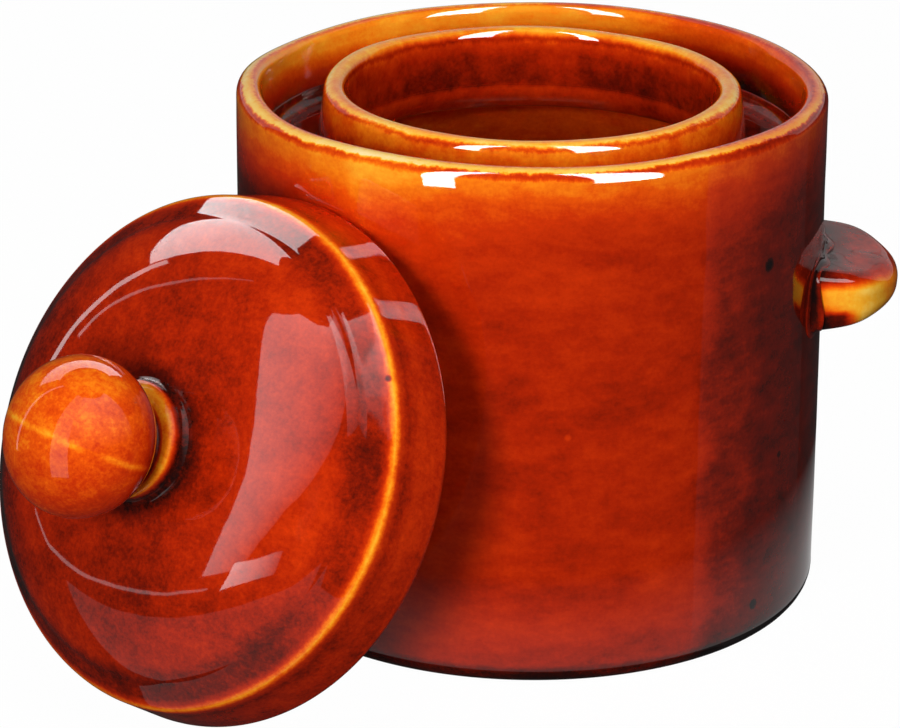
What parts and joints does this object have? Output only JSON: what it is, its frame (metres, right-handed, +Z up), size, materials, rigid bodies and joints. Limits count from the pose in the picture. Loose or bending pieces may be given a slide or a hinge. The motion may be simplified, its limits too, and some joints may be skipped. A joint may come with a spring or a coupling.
{
  "type": "water seal pickle jar",
  "caption": "Straight-walled stoneware crock with a water channel round its neck, two lug handles, weight stones, and a domed lid with a ball knob leaning on it.",
  "frame": {"origin": "centre of the crock's foot, on the surface it stands on", "axes": "+Z up along the crock's axis; X through the two handles; -Y towards the viewer of the picture"},
  "size_m": [0.3015, 0.2736, 0.1795],
  "materials": {
    "crock_glaze": "glossy",
    "lid_glaze": "glossy",
    "bare_stoneware": "matte"
  },
  "bodies": {
    "crock": {"crock_body": "crock_glaze", "water_channel_neck": "crock_glaze", "handle_left": "crock_glaze", "handle_right": "crock_glaze"},
    "lid": {"lid_cover": "lid_glaze", "lid_knob": "lid_glaze"},
    "stone_left": {"weight_stone_left": "bare_stoneware"},
    "stone_right": {"weight_stone_right": "bare_stoneware"}
  },
  "joints": [
    {"name": "lid_lift", "type": "slide", "parent": "crock", "child": "lid", "axis": [-0.5878, -0.6981, 0.4088], "range_m": [0, 0.12]},
    {"name": "stone_left_lift", "type": "slide", "parent": "crock", "child": "stone_left", "axis": [0, 0, 1], "range_m": [0, 0.18]},
    {"name": "stone_right_lift", "type": "slide", "parent": "crock", "child": "stone_right", "axis": [0, 0, 1], "range_m": [0, 0.18]}
  ]
}
